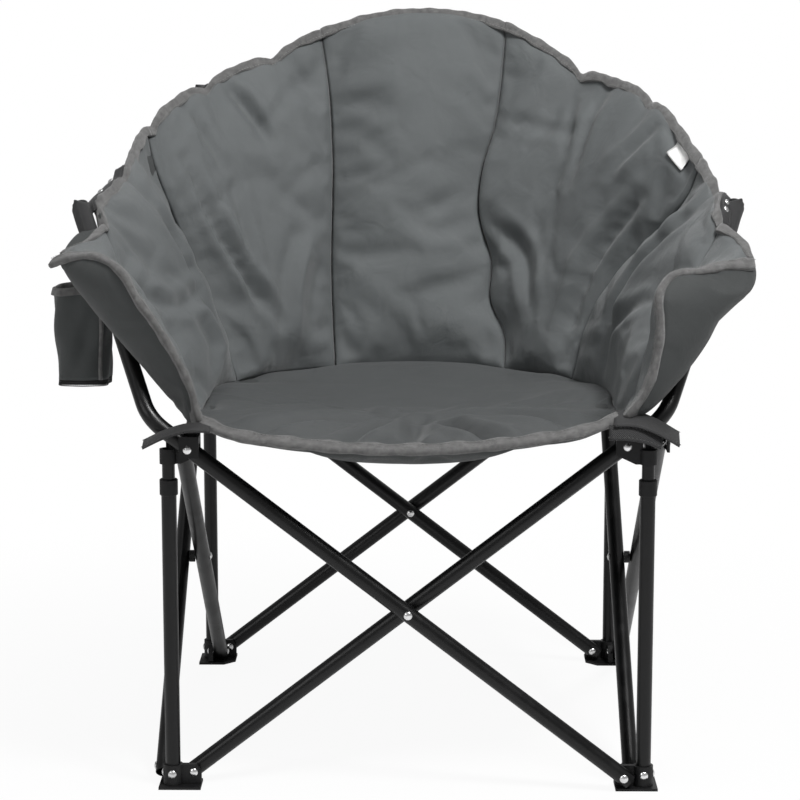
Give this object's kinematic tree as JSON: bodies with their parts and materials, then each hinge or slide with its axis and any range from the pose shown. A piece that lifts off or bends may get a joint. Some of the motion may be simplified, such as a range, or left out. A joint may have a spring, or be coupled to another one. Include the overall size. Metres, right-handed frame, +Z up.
{
  "type": "folding padded camp chair",
  "caption": "Round padded bowl chair slung on a black steel quad-fold frame with telescoping corner posts, bent arm tubes, back uprights and a side cup holder.",
  "frame": {"origin": "on the floor under the middle of the chair", "axes": "+X to the viewer's right facing the chair, +Y towards its back, +Z up"},
  "size_m": [0.8279, 0.6977, 0.882],
  "materials": {
    "frame_tube": "semi-gloss black powder coat on steel tube",
    "rivet_steel": "bright zinc-plated domed rivets",
    "black_plastic": "moulded black nylon, satin",
    "grey_oxford": "slate grey coated oxford cloth over padding",
    "edge_binding": "warm grey woven edge binding",
    "black_webbing": "black woven webbing",
    "white_tab": "plain white sewn tab"
  },
  "bodies": {
    "foot_front_left": {"foot_front_left": "black_plastic", "foot_rivets_front_left": "rivet_steel", "lower_post_front_left": "frame_tube", "post_collar_front_left": "black_plastic"},
    "hub_front_left": {"hub_front_left": "black_plastic", "hub_rivets_front_left": "rivet_steel", "inner_post_front_left": "frame_tube", "seat_pad": "grey_oxford", "back_pad_center": "grey_oxford", "back_pad_left": "grey_oxford", "back_pad_right": "grey_oxford", "side_pad_left": "grey_oxford", "side_pad_right": "grey_oxford", "arm_pad_left": "grey_oxford", "arm_pad_right": "grey_oxford", "pole_pockets": "black_webbing", "corner_tabs": "black_webbing", "rim_binding": "edge_binding", "cup_holder": "grey_oxford", "label_tab": "white_tab"},
    "foot_front_right": {"foot_front_right": "black_plastic", "foot_rivets_front_right": "rivet_steel", "lower_post_front_right": "frame_tube", "post_collar_front_right": "black_plastic"},
    "hub_front_right": {"hub_front_right": "black_plastic", "hub_rivets_front_right": "rivet_steel", "inner_post_front_right": "frame_tube"},
    "foot_rear_right": {"foot_rear_right": "black_plastic", "foot_rivets_rear_right": "rivet_steel", "lower_post_rear_right": "frame_tube", "post_collar_rear_right": "black_plastic"},
    "hub_rear_right": {"hub_rear_right": "black_plastic", "hub_rivets_rear_right": "rivet_steel", "back_upright_right": "frame_tube"},
    "foot_rear_left": {"foot_rear_left": "black_plastic", "foot_rivets_rear_left": "rivet_steel", "lower_post_rear_left": "frame_tube", "post_collar_rear_left": "black_plastic"},
    "hub_rear_left": {"hub_rear_left": "black_plastic", "hub_rivets_rear_left": "rivet_steel", "back_upright_left": "frame_tube"},
    "cross_front_inner": {"cross_tube_front_inner": "frame_tube", "arm_end_cap_right": "black_plastic"},
    "cross_front_outer": {"cross_tube_front_outer": "frame_tube", "cross_rivet_front": "rivet_steel", "cross_spacer_front": "black_plastic", "arm_end_cap_left": "black_plastic"},
    "cross_right_inner": {"cross_tube_right_inner": "frame_tube"},
    "cross_right_outer": {"cross_tube_right_outer": "frame_tube", "cross_rivet_right": "rivet_steel", "cross_spacer_right": "black_plastic"},
    "cross_rear_inner": {"cross_tube_rear_inner": "frame_tube"},
    "cross_rear_outer": {"cross_tube_rear_outer": "frame_tube", "cross_rivet_rear": "rivet_steel", "cross_spacer_rear": "black_plastic"},
    "cross_left_inner": {"cross_tube_left_inner": "frame_tube"},
    "cross_left_outer": {"cross_tube_left_outer": "frame_tube", "cross_rivet_left": "rivet_steel", "cross_spacer_left": "black_plastic"}
  },
  "joints": [
    {"name": "fold", "type": "hinge", "parent": "foot_front_left", "child": "cross_front_inner", "pos_m": [-0.25, -0.261, 0.017], "axis": [0, -1, 0], "range_deg": [0, 42], "deforming": ["seat_pad", "back_pad_center", "back_pad_left", "back_pad_right", "side_pad_left", "side_pad_right", "arm_pad_left", "arm_pad_right", "pole_pockets", "corner_tabs", "rim_binding", "cup_holder", "label_tab"]},
    {"name": "front_cross", "type": "hinge", "parent": "cross_front_inner", "child": "cross_front_outer", "pos_m": [0, -0.274, 0.2105], "axis": [0, -1, 0], "range_deg": [-84, 0]},
    {"name": "front_right_foot", "type": "hinge", "parent": "cross_front_outer", "child": "foot_front_right", "pos_m": [0.25, -0.287, 0.017], "axis": [0, -1, 0], "range_deg": [0, 42]},
    {"name": "front_left_hub", "type": "hinge", "parent": "cross_front_outer", "child": "hub_front_left", "pos_m": [-0.25, -0.287, 0.404], "axis": [0, -1, 0], "range_deg": [0, 42]},
    {"name": "front_right_hub", "type": "hinge", "parent": "cross_front_inner", "child": "hub_front_right", "pos_m": [0.25, -0.261, 0.404], "axis": [0, -1, 0], "range_deg": [-42, 0]},
    {"name": "left_outer_fold", "type": "hinge", "parent": "foot_front_left", "child": "cross_left_outer", "pos_m": [-0.287, -0.25, 0.017], "axis": [1, 0, 0], "range_deg": [0, 42]},
    {"name": "left_cross", "type": "hinge", "parent": "cross_left_outer", "child": "cross_left_inner", "pos_m": [-0.274, 0, 0.2105], "axis": [1, 0, 0], "range_deg": [-84, 0]},
    {"name": "rear_left_foot", "type": "hinge", "parent": "cross_left_inner", "child": "foot_rear_left", "pos_m": [-0.261, 0.25, 0.017], "axis": [1, 0, 0], "range_deg": [0, 42]},
    {"name": "rear_left_hub", "type": "hinge", "parent": "cross_left_outer", "child": "hub_rear_left", "pos_m": [-0.287, 0.25, 0.404], "axis": [1, 0, 0], "range_deg": [-42, 0]},
    {"name": "right_inner_fold", "type": "hinge", "parent": "foot_front_right", "child": "cross_right_inner", "pos_m": [0.261, -0.25, 0.017], "axis": [1, 0, 0], "range_deg": [0, 42]},
    {"name": "right_cross", "type": "hinge", "parent": "cross_right_inner", "child": "cross_right_outer", "pos_m": [0.274, 0, 0.2105], "axis": [1, 0, 0], "range_deg": [-84, 0]},
    {"name": "rear_right_foot", "type": "hinge", "parent": "cross_right_outer", "child": "foot_rear_right", "pos_m": [0.287, 0.25, 0.017], "axis": [1, 0, 0], "range_deg": [0, 42]},
    {"name": "rear_right_hub", "type": "hinge", "parent": "cross_right_inner", "child": "hub_rear_right", "pos_m": [0.261, 0.25, 0.404], "axis": [1, 0, 0], "range_deg": [-42, 0]},
    {"name": "rear_outer_fold", "type": "hinge", "parent": "foot_rear_left", "child": "cross_rear_outer", "pos_m": [-0.25, 0.287, 0.017], "axis": [0, -1, 0], "range_deg": [0, 42]},
    {"name": "rear_cross", "type": "hinge", "parent": "cross_rear_outer", "child": "cross_rear_inner", "pos_m": [0, 0.274, 0.2105], "axis": [0, -1, 0], "range_deg": [-84, 0]}
  ],
  "couplings": [
    {"joint": "front_cross", "follows": "fold", "ratio": -2},
    {"joint": "front_right_foot", "follows": "fold", "ratio": 1},
    {"joint": "front_left_hub", "follows": "fold", "ratio": 1},
    {"joint": "front_right_hub", "follows": "fold", "ratio": -1},
    {"joint": "left_outer_fold", "follows": "fold", "ratio": 1},
    {"joint": "left_cross", "follows": "fold", "ratio": -2},
    {"joint": "rear_left_foot", "follows": "fold", "ratio": 1},
    {"joint": "rear_left_hub", "follows": "fold", "ratio": -1},
    {"joint": "right_inner_fold", "follows": "fold", "ratio": 1},
    {"joint": "right_cross", "follows": "fold", "ratio": -2},
    {"joint": "rear_right_foot", "follows": "fold", "ratio": 1},
    {"joint": "rear_right_hub", "follows": "fold", "ratio": -1},
    {"joint": "rear_outer_fold", "follows": "fold", "ratio": 1},
    {"joint": "rear_cross", "follows": "fold", "ratio": -2}
  ]
}
